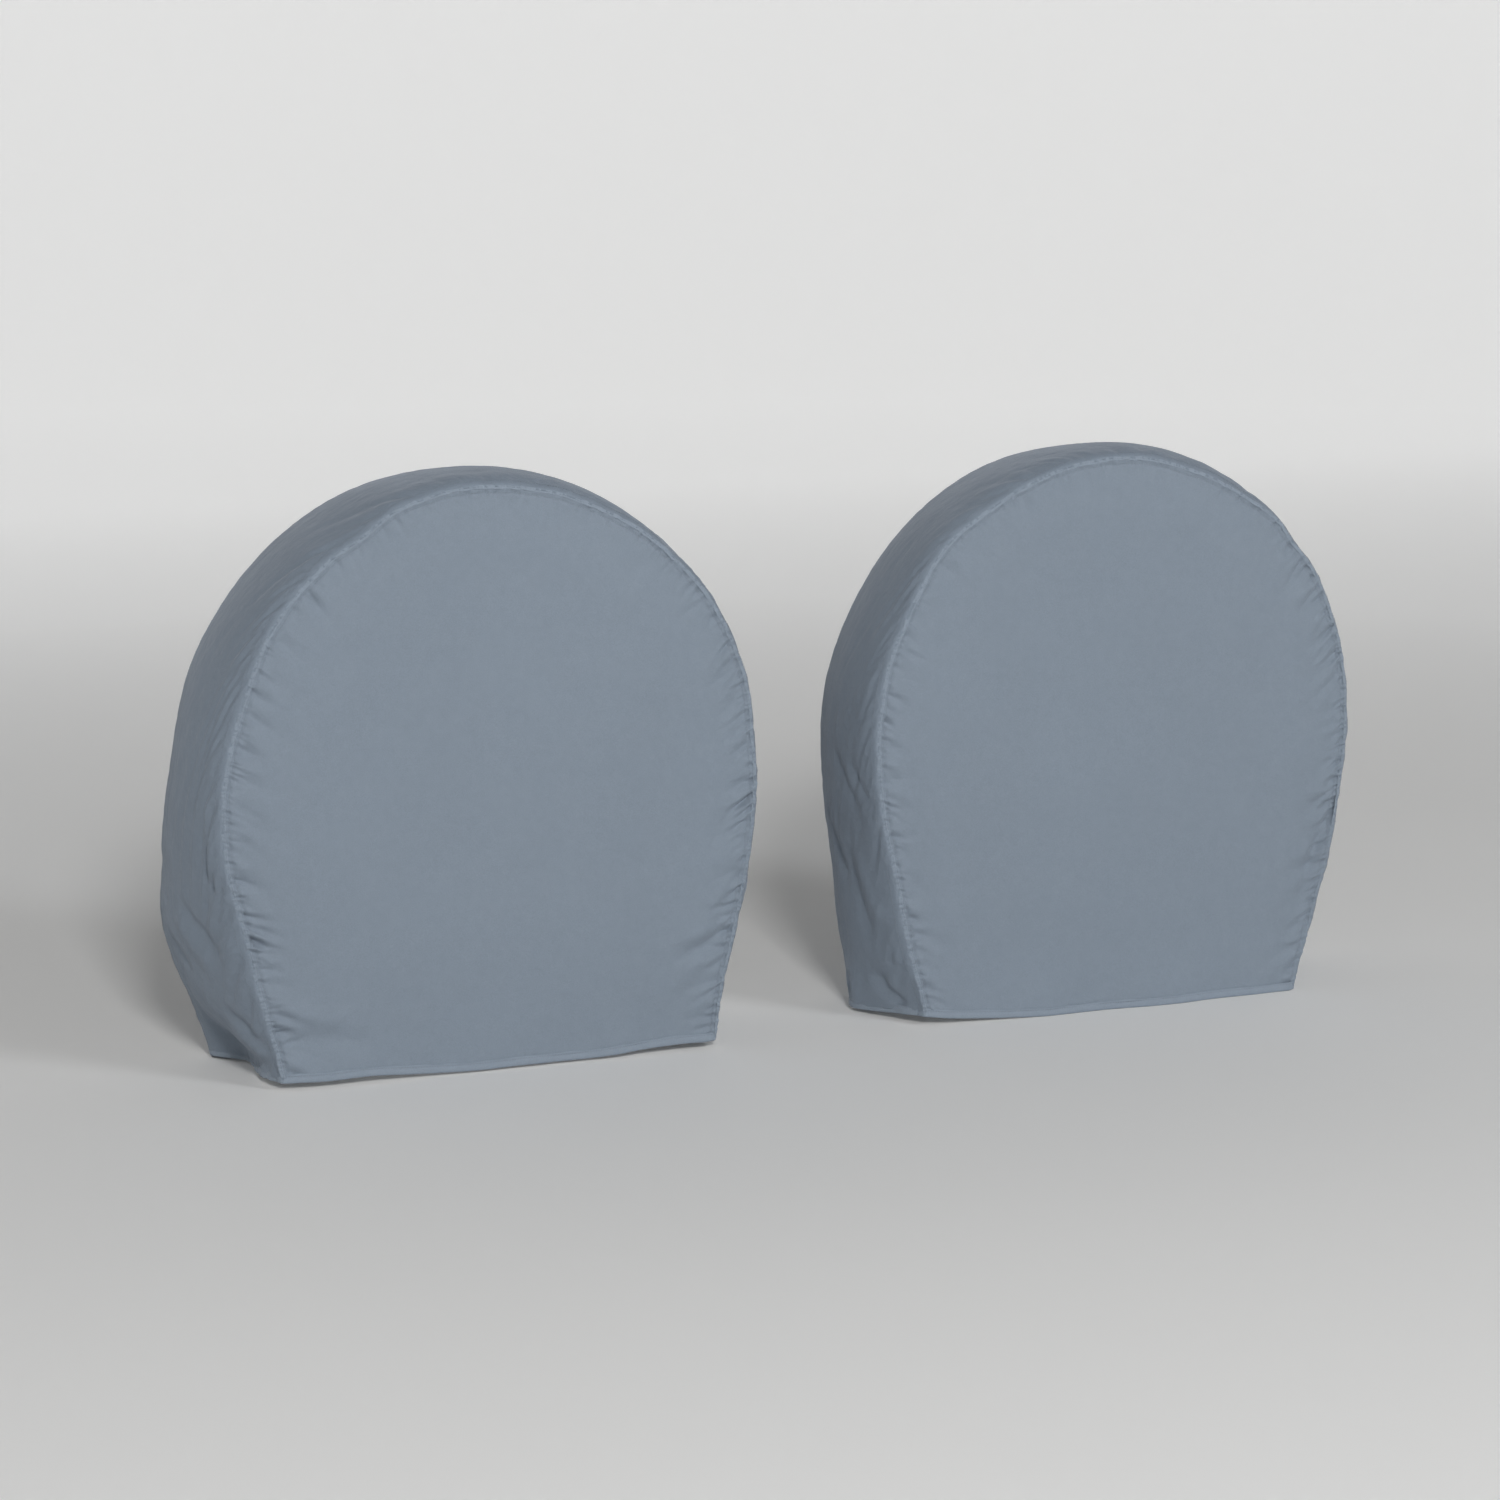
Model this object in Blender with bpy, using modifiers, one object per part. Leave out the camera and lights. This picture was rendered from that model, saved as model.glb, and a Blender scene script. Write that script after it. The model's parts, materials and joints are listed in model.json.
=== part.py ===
"""A set of two fabric wheel covers, standing side by side as they hang on the wheels of a tandem axle.

Each cover is a D-shaped front panel, a tread band that runs from the floor over the crown and down again,
and a rear flange drawn in by an elastic cord. X runs along the trailer, -Y faces outwards and +Z is up.
The two covers mirror each other in X. In a cover's own space, +X is its outer side, away from the other cover.
"""

import math

import bmesh
import bpy
from mathutils import Vector

# Driving dimensions, in metres
AXLE_SPACING = 0.86
HALF_WIDTH = 0.352
CROWN_HEIGHT = 0.742
WIDEST_HEIGHT = 0.346
BAND_DEPTH = 0.20
FLANGE_WIDTH = 0.062
FABRIC = 0.0014
GAP = 0.0003

# Seams, hems, threads and elastic
SEAM_RADIUS = 0.0026
HEM_HEIGHT = 0.012
HEM_THICKNESS = 0.0044
THREAD_RADIUS = 0.0004
STITCH_INSET = 0.006
HEM_STITCH_HEIGHT = 0.0095
CASING_RADIUS = 0.006
CASING_WALL = 0.0012
CORD_RADIUS = 0.0026
CASING_FOOT = 0.004
CORD_RECESS = 0.003

# The straight sides start this far round the crown's ellipse below its widest height
TAPER_ANGLE = math.radians(14)
ARC_STEPS = 15
SIDE_STEPS = 4
BAND_STEPS = 4

# The band's rear edge stands out from its front edge: everywhere by a shift, and lower down by a sag
OUTER_SHIFT = 0.015
OUTER_SAG = 0.034
INNER_SHIFT = -0.008
INNER_SAG = 0.020
SAG_TOP = 0.36
SAG_BOTTOM = 0.16

FRONT_PROUD = HEM_THICKNESS / 2 + GAP + 2 * THREAD_RADIUS
FRONT_Y = -(BAND_DEPTH + CASING_RADIUS - FRONT_PROUD) / 2
REAR_Y = FRONT_Y + BAND_DEPTH
CLOTH_FOOT = HEM_HEIGHT + GAP
SEAM_INSET = SEAM_RADIUS + GAP
CASING_INSET = FLANGE_WIDTH + GAP + CASING_RADIUS

COLOURS = {
    "panel_cloth": ((0.205, 0.247, 0.299), 0.82),
    "band_cloth": ((0.190, 0.231, 0.283), 0.84),
    "seam_cloth": ((0.214, 0.258, 0.313), 0.80),
    "thread": ((0.165, 0.200, 0.245), 0.60),
    "elastic": ((0.030, 0.031, 0.034), 0.75),
}


def clear_scene():
    for old in list(bpy.data.objects):
        bpy.data.objects.remove(old, do_unlink=True)


def cloth_material(name):
    material = bpy.data.materials.get(name)
    if material:
        return material
    colour, roughness = COLOURS[name]
    material = bpy.data.materials.new(name)
    material.use_nodes = True
    shader = material.node_tree.nodes["Principled BSDF"]
    shader.inputs["Base Color"].default_value = (*colour, 1)
    shader.inputs["Roughness"].default_value = roughness
    shader.inputs["Metallic"].default_value = 0
    return material


# Outlines ---------------------------------------------------------------------------------------------------

def half_outline(inset, foot):
    """Points (x, z) on the +X half, from the foot up to the crown, moved inwards by inset."""
    crown_radius = CROWN_HEIGHT - WIDEST_HEIGHT

    def on_ellipse(angle):
        x = HALF_WIDTH * math.cos(angle)
        z = WIDEST_HEIGHT + crown_radius * math.sin(angle)
        normal = Vector((math.cos(angle) / HALF_WIDTH, math.sin(angle) / crown_radius)).normalized()
        return Vector((x, z)) - inset * normal, normal

    top_of_side, normal = on_ellipse(-TAPER_ANGLE)
    along = Vector((normal.y, -normal.x))
    reach = (foot - top_of_side.y) / along.y
    points = [top_of_side + along * reach * (1 - i / SIDE_STEPS) for i in range(SIDE_STEPS)]
    sweep = math.pi / 2 + TAPER_ANGLE
    points += [on_ellipse(-TAPER_ANGLE + sweep * i / ARC_STEPS)[0] for i in range(ARC_STEPS + 1)]
    return points


def outline(inset=0.0, foot=CLOTH_FOOT):
    """Points (x, z) from the inner foot over the crown to the outer foot."""
    outer = half_outline(inset, foot)
    inner = [Vector((-p.x, p.y)) for p in outer]
    return inner + outer[-2::-1]


def smooth_step(value):
    value = min(max(value, 0.0), 1.0)
    return value * value * (3 - 2 * value)


def sag(x, z, share=1.0):
    """Where the point (x, z) of the front outline lies on a loop that is share of the way to the rear."""
    shift, drop = (OUTER_SHIFT, OUTER_SAG) if x > 0 else (INNER_SHIFT, INNER_SAG)
    out = shift + drop * smooth_step((SAG_TOP - z) / (SAG_TOP - SAG_BOTTOM))
    return Vector((x * (1 + share * out / HALF_WIDTH), z))


def foot_x(side, share, height=HEM_HEIGHT / 2):
    """The outline's x at hem height on the outer (+1) or inner (-1) side."""
    nominal = outline(foot=height)[-1 if side > 0 else 0]
    return sag(nominal.x, nominal.y, share).x


# Builders ---------------------------------------------------------------------------------------------------

def finish(obj, cover, node, material, smooth=True):
    """Names obj after its cover, gives it its material and hangs it on the cover's empty."""
    obj.name = f"{cover['name']}_{node}"
    obj.data.name = obj.name
    if obj.data.materials:
        obj.data.materials[0] = cloth_material(material)
    else:
        obj.data.materials.append(cloth_material(material))
    if smooth and obj.type == "MESH":
        obj.data.shade_smooth()
        obj.data.set_sharp_from_angle(angle=math.radians(35))
    for collection in list(obj.users_collection):
        collection.objects.unlink(obj)
    cover["collection"].objects.link(obj)
    obj.parent = cover["empty"]
    return obj


def plate(cover, node, points, y, material):
    """A flat sheet of cloth of the outline points (x, z), centred on the plane at y."""
    data = bpy.data.curves.new(node, "CURVE")
    data.dimensions = "2D"
    data.fill_mode = "BOTH"
    data.extrude = FABRIC / 2
    spline = data.splines.new("POLY")
    spline.points.add(len(points) - 1)
    for point, place in zip(spline.points, points):
        point.co = (cover["mirror"] * place.x, place.y, 0, 1)
    spline.use_cyclic_u = True
    obj = bpy.data.objects.new(node, data)
    obj.rotation_euler = (math.pi / 2, 0, 0)
    obj.location = (0, y, 0)
    return finish(obj, cover, node, material)


def tube_curve(cover, node, places, radius, capped=True):
    """A curve object through places, which are (x, y, z) in the cover's own space."""
    data = bpy.data.curves.new(node, "CURVE")
    data.dimensions = "3D"
    data.bevel_depth = radius
    data.bevel_resolution = 2
    data.use_fill_caps = capped
    spline = data.splines.new("POLY")
    spline.points.add(len(places) - 1)
    for point, (x, y, z) in zip(spline.points, places):
        point.co = (cover["mirror"] * x, y, z, 1)
    return bpy.data.objects.new(node, data)


def block(cover, node, start, end, height, thickness, material):
    """A hem: an upright strip from start to end, both (x, y), standing on the floor."""
    start = Vector((cover["mirror"] * start[0], start[1]))
    end = Vector((cover["mirror"] * end[0], end[1]))
    run = end - start
    mesh = bpy.data.meshes.new(node)
    form = bmesh.new()
    bmesh.ops.create_cube(form, size=1)
    bmesh.ops.scale(form, vec=(run.length, thickness, height), verts=form.verts)
    form.to_mesh(mesh)
    form.free()
    obj = bpy.data.objects.new(node, mesh)
    middle = (start + end) / 2
    obj.location = (middle.x, middle.y, height / 2)
    obj.rotation_euler = (0, 0, math.atan2(run.y, run.x))
    return finish(obj, cover, node, material, smooth=False)


# Sub-parts --------------------------------------------------------------------------------------------------

def front_panel(cover):
    plate(cover, "front_panel", outline(inset=SEAM_INSET), FRONT_Y, "panel_cloth")


def tread_band(cover):
    """The strip between the two seams, a grid wrapped along the outline and given the cloth's thickness."""
    stations = outline()
    mesh = bpy.data.meshes.new("tread_band")
    form = bmesh.new()
    bmesh.ops.create_grid(form, x_segments=len(stations) - 1, y_segments=BAND_STEPS, size=0.5)
    for vert in form.verts:
        station = stations[round((vert.co.x + 0.5) * (len(stations) - 1))]
        share = vert.co.y + 0.5
        place = sag(station.x, station.y, share)
        near, far = FRONT_Y + SEAM_INSET, REAR_Y - SEAM_INSET
        vert.co = (cover["mirror"] * place.x, near + share * (far - near), place.y)
    form.to_mesh(mesh)
    form.free()
    obj = bpy.data.objects.new("tread_band", mesh)
    cloth = obj.modifiers.new("Cloth thickness", "SOLIDIFY")
    cloth.thickness = FABRIC
    cloth.offset = 0
    finish(obj, cover, "tread_band", "band_cloth")


def rear_flange(cover):
    """The horseshoe that turns in behind the tyre, from the rear seam to the elastic casing."""
    outer = [sag(p.x, p.y) for p in outline(inset=SEAM_INSET)]
    inner = [sag(p.x, p.y) for p in outline(inset=FLANGE_WIDTH)]
    plate(cover, "rear_flange", outer + inner[::-1], REAR_Y, "band_cloth")


def seams(cover):
    """The felled seams, folded ridges along the band's two edges."""
    front = [(p.x, FRONT_Y, p.y) for p in outline()]
    rear = [(place.x, REAR_Y, place.y) for place in (sag(p.x, p.y) for p in outline())]
    for node, places in (("front_seam", front), ("rear_seam", rear)):
        finish(tube_curve(cover, node, places, SEAM_RADIUS), cover, node, "seam_cloth")


def hems(cover):
    """The turned hems along the floor: one under the panel, and two on each end of band and flange."""
    reach = foot_x(1, 0) + SEAM_RADIUS
    block(cover, "front_hem", (-reach, FRONT_Y), (reach, FRONT_Y), HEM_HEIGHT, HEM_THICKNESS, "seam_cloth")
    clear = HEM_THICKNESS / 2 + GAP + SEAM_RADIUS
    for side, name in ((1, "outer"), (-1, "inner")):
        start = (foot_x(side, 0), FRONT_Y + clear)
        end = (foot_x(side, 1), REAR_Y - clear)
        block(cover, f"{name}_side_hem", start, end, HEM_HEIGHT, HEM_THICKNESS, "seam_cloth")
        outer_end = (foot_x(side, 1) + side * SEAM_RADIUS, REAR_Y)
        inner_end = (foot_x(side, 1) - side * (FLANGE_WIDTH - CASING_RADIUS), REAR_Y)
        block(cover, f"{name}_flange_hem", inner_end, outer_end, HEM_HEIGHT, HEM_THICKNESS, "seam_cloth")


def elastic(cover):
    """The hollow casing along the flange's inner edge, and the cord that runs in it."""
    def route(foot):
        return [(place.x, REAR_Y, place.y) for place in (sag(p.x, p.y) for p in outline(CASING_INSET, foot))]

    curve = tube_curve(cover, "elastic_casing", route(CASING_FOOT), CASING_RADIUS, capped=False)
    cover["collection"].objects.link(curve)
    bpy.context.view_layer.update()
    evaluated = curve.evaluated_get(bpy.context.evaluated_depsgraph_get())
    mesh = bpy.data.meshes.new_from_object(evaluated)
    bpy.data.objects.remove(curve, do_unlink=True)
    casing = bpy.data.objects.new("elastic_casing", mesh)
    wall = casing.modifiers.new("Casing wall", "SOLIDIFY")
    wall.thickness = CASING_WALL
    wall.offset = -1
    finish(casing, cover, "elastic_casing", "seam_cloth")
    cord = tube_curve(cover, "elastic_cord", route(CASING_FOOT + CORD_RECESS), CORD_RADIUS)
    finish(cord, cover, "elastic_cord", "elastic")


def threads(cover):
    """The rows of stitching beside the front seam and along the front hem."""
    off_cloth = FABRIC / 2 + GAP + THREAD_RADIUS
    face = [(p.x, FRONT_Y - off_cloth, p.y) for p in outline(inset=STITCH_INSET)]
    share = STITCH_INSET / BAND_DEPTH
    over_band = [sag(p.x, p.y, share) for p in outline(inset=-off_cloth)]
    band = [(place.x, FRONT_Y + STITCH_INSET, place.y) for place in over_band]
    reach = foot_x(1, 0) - SEAM_RADIUS
    hem_y = FRONT_Y - HEM_THICKNESS / 2 - GAP - THREAD_RADIUS
    hem = [(-reach, hem_y, HEM_STITCH_HEIGHT), (reach, hem_y, HEM_STITCH_HEIGHT)]
    for node, places in (("face_seam_thread", face), ("band_seam_thread", band), ("front_hem_thread", hem)):
        finish(tube_curve(cover, node, places, THREAD_RADIUS), cover, node, "thread")


def build_cover(collection, name, mirror):
    empty = bpy.data.objects.new(f"{name}_cover_place", None)
    empty.location = (mirror * AXLE_SPACING / 2, 0, 0)
    collection.objects.link(empty)
    cover = {"collection": collection, "name": name, "mirror": mirror, "empty": empty}
    for make in (front_panel, tread_band, rear_flange, seams, hems, elastic, threads):
        make(cover)


def main():
    clear_scene()
    collection = bpy.data.collections.new("wheel_cover_set")
    bpy.context.scene.collection.children.link(collection)
    build_cover(collection, "left", -1)
    build_cover(collection, "right", 1)


main()
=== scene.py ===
"""Looks for the wheel cover set: puckered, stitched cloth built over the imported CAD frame.

X runs along the trailer, -Y faces outwards and +Z is up. Every cover is built in its own space: x and z
measured from its centre line and the floor, with s the distance in metres along its front outline from the
left foot (low x) over the crown to the right foot.
"""

import json
import math

import bpy
import numpy as np
from mathutils import Matrix, Vector, kdtree


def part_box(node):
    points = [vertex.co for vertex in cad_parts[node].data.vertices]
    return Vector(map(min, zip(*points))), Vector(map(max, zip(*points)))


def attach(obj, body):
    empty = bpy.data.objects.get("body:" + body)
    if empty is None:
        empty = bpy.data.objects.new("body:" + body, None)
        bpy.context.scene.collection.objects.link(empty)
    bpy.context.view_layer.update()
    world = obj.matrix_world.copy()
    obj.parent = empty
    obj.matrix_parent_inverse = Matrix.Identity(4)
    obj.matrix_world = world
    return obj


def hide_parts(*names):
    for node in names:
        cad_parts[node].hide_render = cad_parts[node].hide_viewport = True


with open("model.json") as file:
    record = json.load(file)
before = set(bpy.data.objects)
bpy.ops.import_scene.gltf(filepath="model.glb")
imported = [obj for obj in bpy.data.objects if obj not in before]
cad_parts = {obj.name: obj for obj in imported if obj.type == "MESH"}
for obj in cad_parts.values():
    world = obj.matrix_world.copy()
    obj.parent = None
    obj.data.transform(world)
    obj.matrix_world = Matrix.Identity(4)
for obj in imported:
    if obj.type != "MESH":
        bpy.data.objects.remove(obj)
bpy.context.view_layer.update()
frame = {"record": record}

MM = 0.001

# The outline: an ellipse whose ends run on straight down from where they have turned in by this angle
TAPER_ANGLE = math.radians(14)
CLOTH = 1.0 * MM
PILLOW = 7.0 * MM
LIFT_REACH = 0.11

# The band's rounded edge behind the front seam, and its sharper one at the rear seam
SHOULDER_IN = 5.0 * MM
SHOULDER_BACK = 36.0 * MM
SHOULDER_PUFF = 7.0 * MM
CORNER_BACK = 14.0 * MM
CORNER_IN = 6.0 * MM

# Seams, hems and stitching
SEAM_TILT = math.radians(26)
HEM_HEIGHT = 11.5 * MM
HEM_TURN = 12.0 * MM
HEM_SHAPE_RISE = 0.13
STITCH_PITCH = 3.6 * MM
STITCH_LENGTH = 2.7 * MM
THREAD_RADIUS = 0.36 * MM
PANEL_FOOT = 5.5 * MM
PANEL_STITCH_IN = 7.0 * MM
BAND_STITCH_BACK = 7.0 * MM
HEM_STITCH_UP = 9.4 * MM
HEM_STITCH_OUT = 1.42 * MM
CORD_RADIUS = 2.6 * MM
YARN = 0.75 * MM

# One stitch from end to end: the places of its rings, and how thick it is and how far off the cloth at each
STITCH_PART = np.array([-0.5, -0.42, -0.2, 0.2, 0.42, 0.5])
STITCH_THICK = np.array([0.35, 0.85, 1.0, 1.0, 0.85, 0.35]) * THREAD_RADIUS
STITCH_ARCH = np.array([-0.45, -0.12, 0.22, 0.22, -0.12, -0.45]) * MM

# Puckers in three sizes: gap, depth and reach, then onset and base on the panel or slope on the band
PANEL_PUCKERS = ((0.0052, 1.45 * MM, 0.026, 4 * MM, 0.45), (0.0105, 2.7 * MM, 0.044, 9 * MM, 0.25),
                 (0.0230, 4.2 * MM, 0.076, 20 * MM, 0.12))
BAND_PUCKERS = ((0.0060, 0.8 * MM, 0.028, 0.6), (0.0125, 1.4 * MM, 0.055, 1.2), (0.0300, 2.5 * MM, 0.110, 1.7))
BAND_ONSET = 18.0 * MM
DRAG_SLOPE = 1.2
GROOVE_DEPTH = 1.5 * MM
GROOVE_WIDTH = 1.4 * MM
NOISE_CELLS = 256

# Grids of cloth: FINE near the seams, and every so many columns further than FINE_REACH from them
FINE = 1.2 * MM
BAND_COARSE = 3.2 * MM
PANEL_COARSE = 9.0 * MM
FLANGE_FINE = 1.7 * MM
PANEL_STEP = 4
BAND_STEP = 2
PANEL_FINE_REACH = 0.05
BAND_FINE_REACH = 0.035
PANEL_MIDDLE = 0.36

FLOOR_RADIUS = 9.0
FLOOR_SWEEP = 3.0
WALL_TOP = 12.0


# Numbers and noise ------------------------------------------------------------------------------------------

def smooth(value):
    value = np.clip(value, 0.0, 1.0)
    return value * value * (3.0 - 2.0 * value)


def lengths_along(points):
    """How far along a path each of its points is."""
    return np.concatenate([[0], np.cumsum(np.linalg.norm(np.diff(points, axis=0), axis=1))])


def read_path(at, along, points):
    """Places at distances at on a path, whose points are at distances along."""
    return np.stack([np.interp(at, along, points[:, k]) for k in range(points.shape[1])], -1)


def through(knots, at):
    """A smooth curve through (place, value) knots, level beyond both ends."""
    x, y = np.array(knots, float).T
    slope = np.gradient(y, x)
    slope[0] = slope[-1] = 0.0
    at = np.clip(at, x[0], x[-1])
    i = np.clip(np.searchsorted(x, at, side="right") - 1, 0, len(x) - 2)
    span = x[i + 1] - x[i]
    t = (at - x[i]) / span
    return ((1 + 2 * t) * (1 - t) ** 2 * y[i] + t * (1 - t) ** 2 * span * slope[i]
            + t * t * (3 - 2 * t) * y[i + 1] + t * t * (t - 1) * span * slope[i + 1])


def ripple(rng, at, wavelength):
    """Smooth 1D noise between about -1 and 1."""
    at = np.asarray(at, float)
    places = np.arange(at.min() - 2 * wavelength, at.max() + 3 * wavelength, wavelength)
    return through(np.column_stack([places, rng.uniform(-1, 1, len(places))]), at)


class Noise:
    """Smooth 2D noise between about -1 and 1, the same however often it is read.

    Creased noise stands in ridges where plain noise crosses zero, bent by another noise.
    """

    def __init__(self, rng, wave_a, wave_b, creased=False):
        self.waves = wave_a, wave_b
        self.creased = creased
        self.grid = rng.uniform(-1, 1, (NOISE_CELLS, NOISE_CELLS))
        self.warp = Noise(rng, 1.6 * wave_a, 1.6 * wave_b) if creased else None

    def __call__(self, a, b):
        i, j = a / self.waves[0], b / self.waves[1]
        if self.creased:
            i, j = i + 0.9 * self.warp(a, b), j + 0.9 * self.warp(b + 1, a + 1)
        i0, j0 = np.floor(i).astype(int), np.floor(j).astype(int)
        u, v = smooth(i - i0), smooth(j - j0)
        here, there = (i0 % NOISE_CELLS, (i0 + 1) % NOISE_CELLS), (j0 % NOISE_CELLS, (j0 + 1) % NOISE_CELLS)
        low = self.grid[here[0], there[0]] * (1 - u) + self.grid[here[1], there[0]] * u
        high = self.grid[here[0], there[1]] * (1 - u) + self.grid[here[1], there[1]] * u
        value = low * (1 - v) + high * v
        return 1.1 - 1.9 * np.sqrt(value ** 2 + 0.14) if self.creased else value


def near_path(a, b, path):
    """Distance from each point (a, b) to a path of (a, b) points, which side it is on, and how far along it."""
    path = np.array(path, float)
    lengths = lengths_along(path)
    best = np.full(a.shape, 1e9)
    side = np.ones(a.shape)
    along = np.zeros(a.shape)
    for k in range(len(path) - 1):
        start, run = path[k], path[k + 1] - path[k]
        length = np.linalg.norm(run)
        t = np.clip(((a - start[0]) * run[0] + (b - start[1]) * run[1]) / length ** 2, 0, 1)
        da, db = a - start[0] - t * run[0], b - start[1] - t * run[1]
        far = np.hypot(da, db)
        closer = far < best
        best = np.where(closer, far, best)
        side = np.where(closer, np.sign(run[0] * db - run[1] * da), side)
        along = np.where(closer, (lengths[k] + t * length) / lengths[-1], along)
    return best, side, along


def fold(a, b, path, height, width, lean=0.0):
    """A soft fold along a path, highest in its middle third; lean makes the + side the steeper one."""
    far, side, along = near_path(a, b, path)
    ends = smooth(along / 0.3) * smooth((1 - along) / 0.3)
    wide = width * (1 - lean * side)
    return height * ends * np.exp(-(far / wide) ** 2)


class Puckers:
    """Short wrinkles that start on a seam and run into the cloth beside it, a gap apart more or less.

    They are at full depth from onset on, and at a share of it, base, on the seam itself.
    """

    def __init__(self, rng, start, end, gap, depth, reach, lean, strength, onset, base=0.2):
        places, place = [], start + gap
        while place < end - gap:
            places.append(place)
            place += gap * rng.uniform(0.45, 1.6)
        self.places = np.array(places)
        count = len(places)
        scale = through(strength, self.places)
        draw = rng.uniform(0, 1, (count, 5))
        self.depth = depth * scale * (0.4 + 0.9 * draw[:, 0] ** 1.2)
        self.reach = reach * (0.35 + 1.1 * draw[:, 1] ** 2) * (0.6 + 0.4 * scale)
        self.width = gap * (0.24 + 0.16 * draw[:, 2])
        self.lean = through(lean, self.places) * (0.4 + 1.2 * draw[:, 3])
        self.bend = (draw[:, 4] - 0.5) * 0.9
        self.onset, self.base = onset, base

    def field(self, s, d):
        """Height of the cloth at distances s along the seam and d from it, arrays of one shape."""
        shape_in = d.shape
        s, d = s.ravel(), d.ravel()
        height = np.zeros(len(d))
        for place, depth, reach, width, lean, bend in zip(
                self.places, self.depth, self.reach, self.width, self.lean, self.bend):
            spread = reach * (abs(lean) + abs(bend)) + 8 * width
            near = np.nonzero((np.abs(s - place) < spread) & (d < reach))[0]
            part = d[near]
            rise = part / reach
            centre = place + lean * part + bend * part * rise * 0.5
            wide = width * (1 + 1.3 * rise)
            off = np.abs(s[near] - centre) / wide
            shape = -np.exp(-off ** 1.35) + 0.5 * np.exp(-(off - 1.8) ** 2)
            fade = (self.base + (1 - self.base) * smooth(part / self.onset)) * (1 - smooth((rise - 0.1) / 0.9))
            height[near] += depth * fade * shape
        return height.reshape(shape_in)


# Mesh building ----------------------------------------------------------------------------------------------

def mesh_object(name, points, faces, uvs=None):
    mesh = bpy.data.meshes.new(name)
    mesh.from_pydata(points.reshape(-1, 3).tolist(), [], faces if isinstance(faces, list) else faces.tolist())
    if uvs is not None:
        layer = mesh.uv_layers.new(name="Cloth")
        loops = np.zeros(len(mesh.loops), int)
        mesh.loops.foreach_get("vertex_index", loops)
        layer.data.foreach_set("uv", uvs.reshape(-1, 2)[loops].ravel())
    mesh.shade_smooth()
    obj = bpy.data.objects.new(name, mesh)
    bpy.context.scene.collection.objects.link(obj)
    return obj


def quads(rows, columns, wrap=False):
    """Vertex numbers of the faces of a grid stored row by row."""
    last = columns if wrap else columns - 1
    i, j = np.meshgrid(np.arange(rows - 1), np.arange(last), indexing="ij")
    next_j = (j + 1) % columns
    return np.stack([i * columns + j, i * columns + next_j,
                     (i + 1) * columns + next_j, (i + 1) * columns + j], -1).reshape(-1, 4)


def face_outwards(obj, outward):
    """Flips the mesh if its normals point away from outward, a vector or a function of the faces' centres."""
    count = len(obj.data.polygons)
    normals, centres = np.zeros(count * 3), np.zeros(count * 3)
    obj.data.polygons.foreach_get("normal", normals)
    obj.data.polygons.foreach_get("center", centres)
    normals, centres = normals.reshape(-1, 3), centres.reshape(-1, 3)
    wanted = outward(centres) if callable(outward) else np.array(outward, float)
    if (normals * wanted).sum() < 0:
        obj.data.flip_normals()


def turn_right_side_out(obj):
    """Flips a closed mesh, or a tube, whose normals point inwards."""
    if sum(p.center.dot(p.normal) * p.area for p in obj.data.polygons) < 0:
        obj.data.flip_normals()


def zoned_faces(zones, wrap):
    """Faces of grids of (rows, columns) stored one after another, whose columns thin out by whole steps."""
    faces, start, last = [], 0, None
    for rows, columns in zones:
        if last is not None:
            edge, many = last
            step = many // columns if wrap else (many - 1) // (columns - 1)
            for j in range(columns if wrap else columns - 1):
                fine = [edge + (j * step + k) % many for k in range(step + 1)]
                faces.append(fine + [start + (j + 1) % columns, start + j])
        faces += (quads(rows, columns, wrap) + start).tolist()
        last = (start + (rows - 1) * columns, columns)
        start += rows * columns
    return faces


def thicken(obj):
    """Gives cloth its thickness, behind the face that its points make."""
    cloth = obj.modifiers.new("Cloth thickness", "SOLIDIFY")
    cloth.thickness = CLOTH
    cloth.offset = -1


def cloth_object(name, points, faces, uvs, outward):
    """A sheet of cloth with its given points on the outer side."""
    obj = mesh_object(name, points, faces, uvs)
    face_outwards(obj, outward)
    thicken(obj)
    return obj


def swept_object(name, centre, across, up, profile, uv_width):
    """A closed profile, (n, m, 2) or (m, 2), swept along centre (n, 3) with its axes across and up."""
    count = len(centre)
    if profile.ndim == 2:
        profile = np.broadcast_to(profile, (count, *profile.shape))
    sides = profile.shape[1]
    points = (centre[:, None] + profile[..., :1] * across[:, None] + profile[..., 1:] * up[:, None])
    faces = quads(count, sides, wrap=True).tolist()
    faces.append(list(range(sides))[::-1])
    faces.append([(count - 1) * sides + k for k in range(sides)])
    around = np.linspace(0, uv_width, sides)
    uvs = np.stack(np.broadcast_arrays(lengths_along(centre)[:, None], around[None]), -1)
    obj = mesh_object(name, points, faces, uvs)
    turn_right_side_out(obj)
    return obj


def unit(vectors):
    return vectors / np.maximum(np.linalg.norm(vectors, axis=-1, keepdims=True), 1e-12)


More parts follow.
